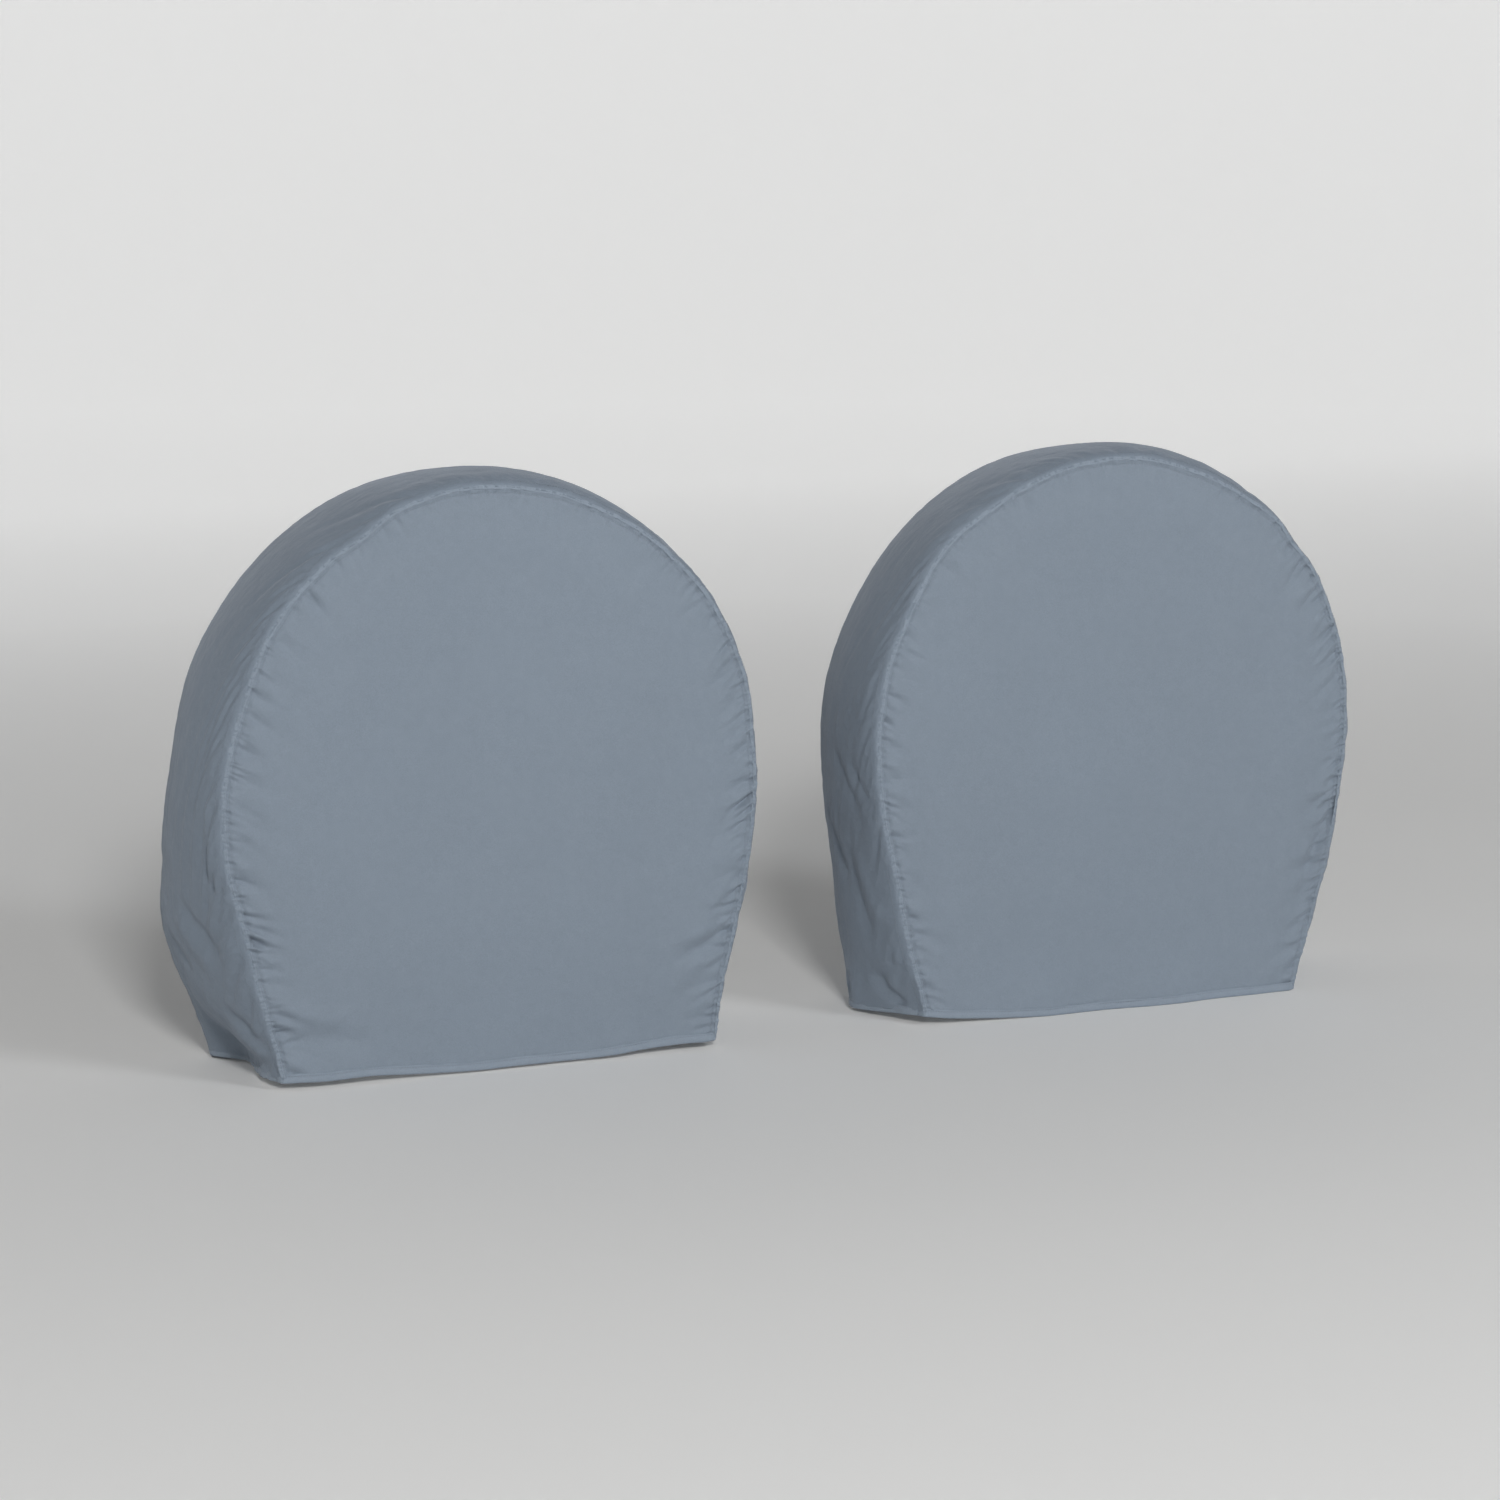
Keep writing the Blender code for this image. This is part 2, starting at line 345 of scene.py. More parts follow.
def stitch_row(name, line, up, rng):
    """A row of separate stitches along line (n, 3), each arched out of the cloth along up (n, 3)."""
    along = lengths_along(line)
    count = int(along[-1] / STITCH_PITCH)
    start = (np.arange(count) + 0.5) * along[-1] / count + rng.uniform(-0.12, 0.12, count) * MM
    length = STITCH_LENGTH * rng.uniform(0.9, 1.08, count)
    at = start[:, None] + STITCH_PART * length[:, None]

    lift = unit(read_path(at, along, up))
    middle = read_path(at, along, line) + lift * STITCH_ARCH[None, :, None]
    run = unit(np.gradient(middle, axis=1))
    sideways = unit(np.cross(run, lift))
    above = np.cross(sideways, run)
    skew = rng.uniform(-0.12, 0.12, count)[:, None, None] * MM * np.sign(STITCH_PART)[None, :, None]
    middle = middle + sideways * skew
    turn = np.linspace(0, 2 * math.pi, 7)[:-1]
    ring = (np.cos(turn)[:, None] * sideways[:, :, None] + np.sin(turn)[:, None] * above[:, :, None])
    points = middle[:, :, None] + ring * STITCH_THICK[None, :, None, None]

    per = len(STITCH_PART) * len(turn)
    one = quads(len(STITCH_PART), len(turn), wrap=True).tolist()
    one.append(list(range(len(turn)))[::-1])
    one.append([per - len(turn) + k for k in range(len(turn))])
    return mesh_object(name, points, [[v + per * k for v in face] for k in range(count) for face in one])


# Materials --------------------------------------------------------------------------------------------------

class Nodes:
    """Short names for making and joining shader nodes."""

    def __init__(self, name):
        self.material = bpy.data.materials.new(name)
        self.material.use_nodes = True
        self.tree = self.material.node_tree
        self.shader = self.tree.nodes["Principled BSDF"]

    def add(self, kind, **settings):
        node = self.tree.nodes.new(kind)
        for key, value in settings.items():
            setattr(node, key, value)
        return node

    def join(self, source, target):
        self.tree.links.new(source, target)

    def noise(self, vector, scale, detail=3.0, rough=0.5, distortion=0.0):
        node = self.add("ShaderNodeTexNoise")
        for key, number in (("Scale", scale), ("Detail", detail), ("Roughness", rough),
                            ("Distortion", distortion)):
            node.inputs[key].default_value = number
        self.join(vector, node.inputs["Vector"])
        return node.outputs["Fac"]

    def math(self, operation, first, second):
        node = self.add("ShaderNodeMath", operation=operation)
        for socket, value in zip(node.inputs, (first, second)):
            if isinstance(value, (int, float)):
                socket.default_value = value
            else:
                self.join(value, socket)
        return node.outputs[0]

    def spread(self, value, low, high, from_low=0.3, from_high=0.7):
        node = self.add("ShaderNodeMapRange", clamp=True)
        for key, number in (("From Min", from_low), ("From Max", from_high), ("To Min", low), ("To Max", high)):
            node.inputs[key].default_value = number
        self.join(value, node.inputs["Value"])
        return node.outputs["Result"]

    def waves(self, vector, width, direction):
        """Soft bands, one every width metres."""
        node = self.add("ShaderNodeTexWave", wave_type="BANDS", bands_direction=direction)
        node.inputs["Scale"].default_value = 2 * math.pi / 20 / width
        self.join(vector, node.inputs["Vector"])
        return node.outputs["Fac"]

    def tint(self, colour, value):
        """Gives the shader a colour that value makes lighter and darker from place to place."""
        node = self.add("ShaderNodeHueSaturation")
        node.inputs["Color"].default_value = (*colour, 1)
        self.join(value, node.inputs["Value"])
        self.join(node.outputs["Color"], self.shader.inputs["Base Color"])

    def bump(self, height, distance, strength=1.0, after=None):
        node = self.add("ShaderNodeBump")
        node.inputs["Strength"].default_value = strength
        node.inputs["Distance"].default_value = distance
        self.join(height, node.inputs["Height"])
        if after is not None:
            self.join(after, node.inputs["Normal"])
        return node.outputs["Normal"]


def cloth_material(name, colour, roughness=0.78, wrinkle=0.35 * MM):
    """Plain-woven, coated polyester: yarns over and under each other, faint mottling, painted shade in the
    weave's hollows and soft creasing.
    """
    n = Nodes(name)
    place = n.add("ShaderNodeTexCoord")
    own, uv = place.outputs["Object"], place.outputs["UV"]

    broad = n.noise(own, 5.0, 4.0)
    fine = n.noise(own, 90.0, 3.0, 0.6)
    grain = n.noise(own, 900.0, 2.0, 0.6)
    shade = n.math("ADD", n.spread(broad, -0.018, 0.018), n.spread(fine, -0.02, 0.02))
    shade = n.math("ADD", shade, n.spread(grain, -0.07, 0.07))

    # The weave: humps across for one set of yarns, humps along for the other, in alternate squares
    check = n.add("ShaderNodeTexChecker")
    check.inputs["Scale"].default_value = 1 / YARN
    n.join(uv, check.inputs["Vector"])
    over = n.add("ShaderNodeMix", data_type="FLOAT")
    n.join(check.outputs["Fac"], over.inputs["Factor"])
    n.join(n.waves(uv, YARN, "X"), over.inputs["A"])
    n.join(n.waves(uv, YARN, "Y"), over.inputs["B"])
    weave = over.outputs["Result"]
    # The weave's humps also set the colour, darker in its hollows: painted shade between the yarns, a little
    # lighter on the humps.
    shade = n.math("ADD", shade, n.spread(weave, -0.05, 0.02, 0.0, 1.0))
    n.tint(colour, n.math("ADD", shade, 1.0))

    n.join(n.spread(n.noise(own, 30.0, 4.0), roughness - 0.07, roughness + 0.07), n.shader.inputs["Roughness"])
    n.shader.inputs["Sheen Weight"].default_value = 0.22
    n.shader.inputs["Sheen Roughness"].default_value = 0.45
    n.shader.inputs["Sheen Tint"].default_value = (0.82, 0.88, 1.0, 1)
    n.shader.inputs["Specular IOR Level"].default_value = 0.35

    creases = n.bump(n.noise(own, 38.0, 4.0, 0.55, 0.6), 4.0 * wrinkle)
    crumple = n.bump(n.noise(own, 160.0, 3.0, 0.6, 0.3), wrinkle, after=creases)
    n.join(n.bump(weave, 0.10 * MM, 0.6, after=crumple), n.shader.inputs["Normal"])
    return n.material


def thread_material(name, colour):
    """Twisted polyester thread: short slanting bands along each stitch, painted darker in the grooves between
    them.
    """
    n = Nodes(name)
    own = n.add("ShaderNodeTexCoord").outputs["Object"]
    twist = n.waves(own, 0.5 * MM, "DIAGONAL")
    # The twist's bands also set the colour, darker in their grooves: painted shade.
    n.tint(colour, n.math("ADD", n.spread(n.noise(own, 140.0), 0.86, 1.14), n.spread(twist, -0.08, 0.06, 0, 1)))
    n.join(n.spread(n.noise(own, 400.0), 0.5, 0.68), n.shader.inputs["Roughness"])
    n.shader.inputs["Sheen Weight"].default_value = 0.3
    n.join(n.bump(twist, 0.05 * MM), n.shader.inputs["Normal"])
    return n.material


def elastic_material(name):
    """Braided sheath of a shock cord: two sets of slanting strands, painted lighter on their crests and darker
    between them, with a fleck yarn.
    """
    n = Nodes(name)
    uv = n.add("ShaderNodeTexCoord").outputs["UV"]
    strands = []
    for slant in (1, -1):
        turned = n.add("ShaderNodeMapping")
        turned.inputs["Rotation"].default_value = (0, 0, slant * math.radians(38))
        n.join(uv, turned.inputs["Vector"])
        strands.append(n.waves(turned.outputs["Vector"], 1.1 * MM, "X"))
    braid = n.math("MAXIMUM", *strands)
    # The braid's humps also set the colour: painted light on the strands' crests and painted shade between
    # them; the noise is the fleck yarn.
    n.tint((0.035, 0.036, 0.040), n.math("ADD", n.spread(braid, 0.6, 1.3, 0, 1),
                                         n.spread(n.noise(uv, 700.0), -0.2, 0.25)))
    n.join(n.spread(n.noise(uv, 300.0), 0.6, 0.8), n.shader.inputs["Roughness"])
    n.join(n.bump(braid, 0.25 * MM), n.shader.inputs["Normal"])
    return n.material


MATERIALS = {
    "panel_cloth": cloth_material("cover_panel_cloth", (0.205, 0.247, 0.299)),
    # The band's cloth is the panel's, a little darker: painted shade on the band, whose sides face away from
    # the light.
    "band_cloth": cloth_material("cover_band_cloth", (0.190, 0.231, 0.283), 0.80, wrinkle=0.5 * MM),
    # The seam cloth is the panel's, made lighter: painted highlight on the raised seams, hems and casing.
    "seam_cloth": cloth_material("cover_seam_cloth", (0.230, 0.276, 0.334), 0.75, wrinkle=0.25 * MM),
    # The thread is darker than the cloth, which partly paints in the shade of the stitch holes.
    "thread": thread_material("cover_thread", (0.165, 0.200, 0.245)),
    "elastic": elastic_material("cover_elastic"),
}


# One cover's shape ------------------------------------------------------------------------------------------

class Cover:
    """The measures of one cover, read from its CAD nodes, and the places of points on its cloth."""

    def __init__(self, name, seed, touches):
        self.name = name
        self.body = f"{name}_cover"
        self.rng = np.random.default_rng(seed)
        self.touches = touches
        low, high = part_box(f"{name}_front_seam")
        rear_low, rear_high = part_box(f"{name}_rear_seam")
        casing_low, casing_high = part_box(f"{name}_elastic_casing")
        radius = (high.y - low.y) / 2
        self.centre = (low.x + high.x) / 2
        self.half_width = (high.x - low.x) / 2 - radius
        self.crown = high.z - radius
        self.front = (low.y + high.y) / 2
        self.rear = (rear_low.y + rear_high.y) / 2
        self.depth = self.rear - self.front
        self.casing_radius = (casing_high.y - casing_low.y) / 2
        self.flange_width = self.crown - casing_high.z
        mounts = {m["name"]: m["pos_m"] for m in frame["record"]["mounts"]}
        self.widest = mounts[f"{name}_tyre_face"][2]
        self.s, self.places, self.normals = self.inset_outline(0.0)
        self.length = self.s[-1]
        self.wobble_at = at = np.linspace(0, self.length, 2400)
        self.wobble_out = (0.9 * ripple(self.rng, at, 0.045) + 0.3 * ripple(self.rng, at, 0.012)) * MM
        self.wobble_y = (0.8 * ripple(self.rng, at, 0.034) + 0.25 * ripple(self.rng, at, 0.009)) * MM
        self.seam_at = np.linspace(0, self.length, 3800)
        line, _, _ = self.seam_line(self.seam_at)
        self.seam_tree = kdtree.KDTree(len(line))
        for k, place in enumerate(line):
            self.seam_tree.insert((*place, 0), k)
        self.seam_tree.balance()

    def inset_outline(self, inset, foot=0.0):
        """Dense outline moved inwards by inset: distances along it, places (x, z) and outward normals."""
        rise = self.crown - self.widest
        angle = np.linspace(-TAPER_ANGLE, math.pi / 2, 1500)
        arc = np.column_stack([self.half_width * np.cos(angle), self.widest + rise * np.sin(angle)])
        out = unit(np.column_stack([np.cos(angle) / self.half_width, np.sin(angle) / rise]))
        arc = arc - inset * out
        down = np.array([out[0, 1], -out[0, 0]])
        reach = (foot - arc[0, 1]) / down[1]
        side = arc[0] + down * np.linspace(reach, 0, 400, endpoint=False)[:, None]
        half = np.vstack([side, arc])
        full = np.vstack([half * [-1, 1], half[-2::-1]])
        run = unit(np.gradient(full, axis=0))
        return lengths_along(full), full, np.column_stack([-run[:, 1], run[:, 0]])

    def outline(self, s):
        """Points (x, z) of the outline at distances s, and the outward normals there, level near the feet."""
        place, normal = read_path(s, self.s, self.places), read_path(s, self.s, self.normals)
        normal[..., 1] *= smooth(np.minimum(s, self.length - s) / 0.12)
        return place, unit(normal)

    def nearest_seam(self, x, z):
        """For places (x, z) on the panel: how far along the seam, and how far from it."""
        found = [self.seam_tree.find((px, pz, 0)) for px, pz in zip(x, z)]
        return self.seam_at[[f[1] for f in found]], np.array([f[2] for f in found])

    def touch(self, name, at):
        """A given touch, read at places at."""
        return through(self.touches[name], at)

    def wobble(self, s):
        """How far the front seam strays from its line at s, outwards and in depth."""
        return np.interp(s, self.wobble_at, self.wobble_out), np.interp(s, self.wobble_at, self.wobble_y)

    def lift(self, x, y, z):
        """How far the loose foot of the cloth stands off the floor."""
        back = 1 - 0.6 * smooth((y - self.front) / LIFT_REACH)
        return np.maximum(self.touch("foot_lift", x), 0) * back * (1 - smooth(z / LIFT_REACH))

    def to_frame(self, x, y, z):
        """Points in the shared frame, lifted where the foot of the cloth is off the floor."""
        return np.stack([x + self.centre, y, z + self.lift(x, y, z)], -1)

    def seam_line(self, s):
        """The front seam: places (x, z), depth y and the outward normal in (x, z)."""
        place, normal = self.outline(s)
        out, y = self.wobble(s)
        out = out + self.touch("front", s) - SHOULDER_IN
        return place + out[..., None] * normal, self.front + y, normal

    def front_turn(self, y):
        """How far the rounded shoulder has turned into the band, 0 at the seam and 1 behind the shoulder."""
        return np.sqrt(np.maximum(1 - (1 - np.clip(y / SHOULDER_BACK, 0, 1)) ** 2, 0))

    def spread(self, s, y):
        """How far the band stands out from the plain outline at s, y behind the front seam."""
        v = y / self.depth
        bulge = np.sin(math.pi * np.clip(v, 0, 1) ** 1.15)
        out = self.touch("front", s) * (1 - v) + self.touch("rear", s) * v + self.touch("bulge", s) * bulge
        puff = SHOULDER_PUFF * (1 - 0.7 * smooth((s / self.length - 0.5) / 0.2))
        out = out + puff * self.front_turn(y) * (1 - smooth(v))
        for side, up in (("left", s), ("right", self.length - s)):
            low = (1 - smooth(up / HEM_SHAPE_RISE)) ** 1.3
            hem = self.touch("front", s) * (1 - smooth(v)) + self.touch(f"{side}_foot", y)
            out = out + (hem - out) * low
        return out

    def band_point(self, s, y, wrinkle=0.0):
        """Places on the band at s and y metres behind the front seam; wrinkle moves them outwards."""
        place, normal = self.outline(s)
        from_rear = np.clip((self.depth - y) / CORNER_BACK, 0, 1)
        rear_turn = np.sqrt(np.maximum(1 - (1 - from_rear) ** 2, 0))
        out_wobble, y_wobble = self.wobble(s)
        near_front = 1 - smooth(y / 0.03)
        out = (self.spread(s, y) - SHOULDER_IN * (1 - self.front_turn(y)) - CORNER_IN * (1 - rear_turn)
               + out_wobble * near_front + wrinkle)
        place = place + out[..., None] * normal
        return self.to_frame(place[..., 0], self.front + y + y_wobble * near_front, place[..., 1]), normal


# The pieces of a cover --------------------------------------------------------------------------------------

def growing_steps(first, growth, largest, reach):
    """Distances from 0 to reach, whose steps grow from first up to largest."""
    steps = [0.0]
    while steps[-1] < reach:
        steps.append(steps[-1] + min(first + growth * steps[-1], largest))
    return np.array(steps[:-1])


def front_panel(cover):
    """Rings of cloth from the seam and the hem inwards, and the line of stitching inside the seam."""
    s = np.linspace(0, cover.length, int(cover.length / FINE))
    edge, _, _ = cover.seam_line(s)
    edge = edge[edge[:, 1] > PANEL_FOOT]
    start, end = edge[-1] * [1, 0] + [0, PANEL_FOOT], edge[0] * [1, 0] + [0, PANEL_FOOT]
    count = int(np.linalg.norm(end - start) / FINE)
    count += -(len(edge) - 2 + count) % PANEL_STEP
    loop = np.vstack([edge[1:-1], start + (end - start) * np.linspace(0, 1, count)[:, None]])
    rings = growing_steps(FINE, 0.05, PANEL_COARSE, PANEL_MIDDLE)[:-1] / PANEL_MIDDLE
    split = np.searchsorted(rings, PANEL_FINE_REACH / PANEL_MIDDLE)
    middle = np.array([0.0, PANEL_MIDDLE])
    zones, flat = [], []
    for part, step in ((rings[:split], 1), (rings[split:], PANEL_STEP)):
        columns = loop[::step]
        flat.append((columns[None] + (middle - columns)[None] * part[:, None, None]).reshape(-1, 2))
        zones.append((len(part), len(columns)))
    x, z = np.vstack(flat).T

    last = zones[-1][1]
    x, z = np.append(x, x[-last:].mean()), np.append(z, z[-last:].mean())
    points = panel_places(cover, x, z)
    faces = zoned_faces(zones, wrap=True)
    first = len(x) - 1 - last
    faces += [[first + k, first + (k + 1) % last, len(x) - 1] for k in range(last)]
    obj = cloth_object(f"{cover.name}_panel_cloth", points, faces, np.stack([x, z], -1), (0, -1, 0))
    finish_piece(obj, cover, "panel_cloth", "front_panel")

    place, _, normal = cover.seam_line(s)
    row = place - PANEL_STITCH_IN * normal
    row = row[row[:, 1] > HEM_HEIGHT]
    return obj, panel_places(cover, *row.T) - np.array([0, 0.25 * MM, 0])


def panel_places(cover, x, z):
    """Points on the panel's outer face at places (x, z)."""
    s, d = cover.nearest_seam(x, z)
    _, wobble_y = cover.wobble(s)
    y = cover.front + wobble_y * (1 - smooth(d / 0.02)) - panel_rise(cover, x, z, s, d)
    return cover.to_frame(x, y, z)


def panel_rise(cover, x, z, s, d):
    """How far the panel stands out towards -Y at places (x, z), which are s along the seam and d from it."""
    rise = PILLOW * smooth(d / 0.075) * (0.35 + 0.65 * smooth((z - 0.02) / 0.16))
    for noise, height, near in cover.panel_noise:
        rise = rise + height * noise(x, z) * smooth(d / near)
    for pucker in cover.panel_puckers:
        rise = rise + pucker.field(s, d)
    for path, height, width, lean in cover.touches["panel_folds"]:
        rise = rise + fold(x, z, path, height, width, lean)
    above_hem = z - HEM_HEIGHT * 0.8
    rise = rise + cover.hem_puckers.field(x, np.maximum(above_hem, 0)) * (above_hem > -1 * MM)
    rise = rise - GROOVE_DEPTH * np.exp(-((d - PANEL_STITCH_IN) / GROOVE_WIDTH) ** 2)
    return rise + cover.touch("foot_wave", x) * (1 - smooth(z / 0.10))


def tread_band(cover):
    """The strip over the tread, and the lines of stitching along its front and rear edges."""
    count = int(cover.length / FINE) // BAND_STEP * BAND_STEP + 1
    s = np.linspace(PANEL_FOOT, cover.length - PANEL_FOOT, count)
    y = growing_steps(FINE, 0.04, BAND_COARSE, cover.depth)
    near_rear = cover.depth - growing_steps(1.4 * MM, 0.06, BAND_COARSE, CORNER_BACK + 4 * MM)[::-1]
    y = np.concatenate([y[y < near_rear[0] - 1.5 * MM], near_rear])
    split = np.searchsorted(y, BAND_FINE_REACH)
    zones, grid_s, grid_y = [], [], []
    for part, step in ((y[:split], 1), (y[split:], BAND_STEP)):
        rows, columns = np.meshgrid(part, s[::step], indexing="ij")
        grid_s.append(columns.ravel())
        grid_y.append(rows.ravel())
        zones.append(rows.shape)
    grid_s, grid_y = np.concatenate(grid_s), np.concatenate(grid_y)
    points, normal = cover.band_point(grid_s, grid_y, band_wrinkle(cover, grid_s, grid_y))
    outward = np.stack([normal[:, 0], 0 * grid_s, normal[:, 1]], -1)
    middle = np.array([cover.centre, 0, cover.widest])
    obj = cloth_object(f"{cover.name}_band_cloth", points, zoned_faces(zones, wrap=False),
                       np.stack([grid_s, grid_y], -1), lambda centres: (centres - middle) * [1, 0, 1])
    finish_piece(obj, cover, "band_cloth", "tread_band")

    def row_at(depth):
        """The grid's row nearest a depth, a little off the cloth, and which way is outwards there."""
        near = y[np.argmin(np.abs(y - depth))]
        row = np.nonzero(grid_y == near)[0]
        return points[row] + outward[row] * 0.3 * MM, outward[row]

    return obj, [row_at(BAND_STITCH_BACK), row_at(cover.depth - BAND_STITCH_BACK)]


def band_wrinkle(cover, s, y):
    """How far the band stands out at s and y metres behind the front seam."""
    from_front, from_rear = smooth(y / 0.02), smooth((cover.depth - y) / 0.03)
    turned = s + np.where(s < cover.length / 2, DRAG_SLOPE, -DRAG_SLOPE) * y
    rise = 0 * y
    for noise, height, diagonal in cover.band_noise:
        scale = cover.touch("band_drag", s) if diagonal else 1.0
        rise = rise + height * scale * noise(turned if diagonal else s, y) * from_front
    for pucker in cover.band_puckers:
        rise = rise + pucker.field(s, y)
    rise = rise + cover.rear_puckers.field(s, cover.depth - y)
    for path, height, width, lean in cover.touches["band_folds"]:
        rise = rise + fold(s, y, path, height, width, lean)
    return rise * (0.3 + 0.7 * from_rear)


def rear_line(cover, s):
    """The rear seam's places (x, z) at s, how far each is moved from the plain outline, and the normals."""
    place, normal = cover.outline(s)
    shift = (cover.spread(s, np.full(np.shape(s), cover.depth)) - CORNER_IN)[..., None] * normal
    return place + shift, shift, normal


def inset_places(cover, inset, share):
    """Places (x, z) of an inset outline at shares of its own length, moved as the rear seam is moved."""
    s, places, _ = cover.inset_outline(inset, PANEL_FOOT)
    _, shift, _ = rear_line(cover, share * cover.length)
    return read_path(share * s[-1], s, places) + shift


def gather(cover, share, depth_share):
    """Depth of the flange's gathers, deeper and closer together towards the elastic."""
    at = share * cover.length
    ridges = np.interp(at, cover.gather_at, cover.gather_fine)
    broad = np.interp(at, cover.gather_at, cover.gather_broad)
    return (4.2 * MM * ridges * depth_share ** 1.3 + 2.2 * MM * broad * smooth(depth_share / 0.5))


def rear_flange(cover):
    """The gathered strip that turns in behind the tyre, from the rear seam to the elastic."""
    share = np.linspace(0, 1, int(cover.length / FLANGE_FINE))
    depth_share = np.linspace(0, 1, 26)
    grid_d, grid_u = np.meshgrid(depth_share, share, indexing="ij")
    flat = np.stack([inset_places(cover, d * cover.flange_width, share) for d in depth_share])
    points = cover.to_frame(flat[..., 0], cover.rear + gather(cover, grid_u, grid_d), flat[..., 1])
    uvs = np.stack([grid_u * cover.length, grid_d * cover.flange_width], -1)
    obj = cloth_object(f"{cover.name}_flange_cloth", points, quads(*grid_u.shape), uvs, (0, 1, 0))
    finish_piece(obj, cover, "band_cloth", "rear_flange")
    return obj


def elastic(cover):
    """The ruched tunnel on the flange's inner edge, and the shock cord that ends just inside its mouths."""
    share = np.linspace(0, 1, 1500)
    flat = inset_places(cover, cover.flange_width + 0.7 * cover.casing_radius, share)
    y = cover.rear + gather(cover, share, 1.0) * 0.75
    line = cover.to_frame(flat[:, 0], y, flat[:, 1])
    run = unit(np.gradient(line, axis=0))
    side = unit(np.cross(run, [0.0, 1.0, 0.0]))
    back = np.cross(side, run)

    rng = cover.rng
    turn = np.linspace(0, 2 * math.pi, 19)[:-1]
    at = share * cover.length
    ruche = np.zeros((len(at), len(turn)))
    for wave, height in ((0.0075, 0.75), (0.013, 0.55)):
        phase = 2 * math.pi * at / wave + 2.2 * ripple(rng, at, 0.03)
        slant = 1.3 * np.sin(turn + 0.9)
        ruche += height * MM * np.sin(phase[:, None] + slant)
    ruche += 0.5 * MM * ripple(rng, at, 0.02)[:, None]
    radius = cover.casing_radius - 1.1 * MM + ruche
    points = (line[:, None] + radius[..., None] * (np.cos(turn)[None, :, None] * side[:, None]
              + 0.85 * np.sin(turn)[None, :, None] * back[:, None]))
    uvs = np.stack(np.broadcast_arrays(at[:, None], turn[None] * cover.casing_radius), -1)
    casing = mesh_object(f"{cover.name}_casing_cloth", points, quads(len(at), len(turn), wrap=True), uvs)
    turn_right_side_out(casing)
    thicken(casing)
    finish_piece(casing, cover, "seam_cloth", "elastic_casing")

    inner = slice(12, -12)
    cord = swept_object(f"{cover.name}_shock_cord", line[inner], side[inner], back[inner],
                        CORD_RADIUS * np.column_stack([np.cos(turn), np.sin(turn)]), 2 * math.pi * CORD_RADIUS)
    finish_piece(cord, cover, "elastic", "elastic_cord")
    return casing, cord


SEAM_PROFILE = np.array([(-2.6, -0.9), (-2.4, -0.25), (-1.9, 0.05), (-1.3, 0.18), (-0.6, 0.12), (0.2, 0.22),
                         (1.1, 0.38), (1.9, 0.32), (2.6, 0.05), (3.0, -0.45), (2.9, -1.0), (1.8, -1.5),
                         (0.0, -1.5), (-1.6, -1.3)]) * MM
TOP_POINTS = slice(1, 9)


def seam_ridge(cover, node, line, across, up, at, pull):
    """A felled seam: a folded ridge with a stitch groove, which dips and swells with the cloth beside it."""
    rng = cover.rng
    profile = np.repeat(SEAM_PROFILE[None], len(at), 0)
    pitch = 2 * math.pi * at / STITCH_PITCH
    dimple = 0.5 + 0.5 * np.cos(pitch + 0.6 * ripple(rng, at, 0.02))
    profile[:, 3:6, 1] -= (0.38 * MM * dimple)[:, None] * np.array([0.8, 1.0, 0.7])
    knots = 0.34 * MM * ripple(rng, at, 0.0045) + 0.20 * MM * ripple(rng, at, 0.015)
    profile[:, TOP_POINTS, 1] += knots[:, None]
    profile[:, :4, 0] += (0.7 * MM * ripple(rng, at, 0.009))[:, None]
    profile[:, 6:10, 0] += (0.9 * MM * ripple(rng, at, 0.008))[:, None]
    profile[:, TOP_POINTS, 1] += pull[:, None]
    obj = swept_object(f"{cover.name}_{node}_ridge", line, across, up, profile, 0.014)
    finish_piece(obj, cover, "seam_cloth", node)
    return obj


def seams(cover):
    """The seams along the band's front and rear edges, each leaning over the rounded edge that it lies on."""
    end = HEM_HEIGHT * 0.75
    at = np.linspace(end, cover.length - end, int(cover.length / (0.9 * MM)))
    pull = sum(p.field(at, 0 * at + 0.5 * MM) for p in cover.panel_puckers)
    front_place, front_y, front_normal = cover.seam_line(at)
    rear_place, _, rear_normal = rear_line(cover, at)
    ridges = []
    for node, place, y, normal, inwards, dip in (
            ("front_seam", front_place, front_y, front_normal, 1.0, pull),
            ("rear_seam", rear_place, 0 * at + cover.rear, rear_normal, -1.0, 0 * pull)):
        line = cover.to_frame(place[:, 0], y, place[:, 1])
        out = np.stack([normal[:, 0], 0 * at, normal[:, 1]], -1)
        back = np.array([0.0, inwards, 0.0])
        across = out * math.cos(SEAM_TILT) + back * math.sin(SEAM_TILT)
        up = out * math.sin(SEAM_TILT) - back * math.cos(SEAM_TILT)
        ridges.append(seam_ridge(cover, node, line, across, up, at, dip))
    return ridges


HEM_PROFILE = np.array([(-1.5, 10.6), (-0.7, 11.5), (0.5, 11.5), (1.15, 10.9), (1.45, 9.6), (1.7, 7.5),
                        (1.85, 5.0), (1.75, 2.6), (1.3, 0.9), (0.4, 0.15), (-0.6, 0.15), (-1.4, 0.9),
                        (-1.8, 2.8), (-1.9, 6.0)]) * MM


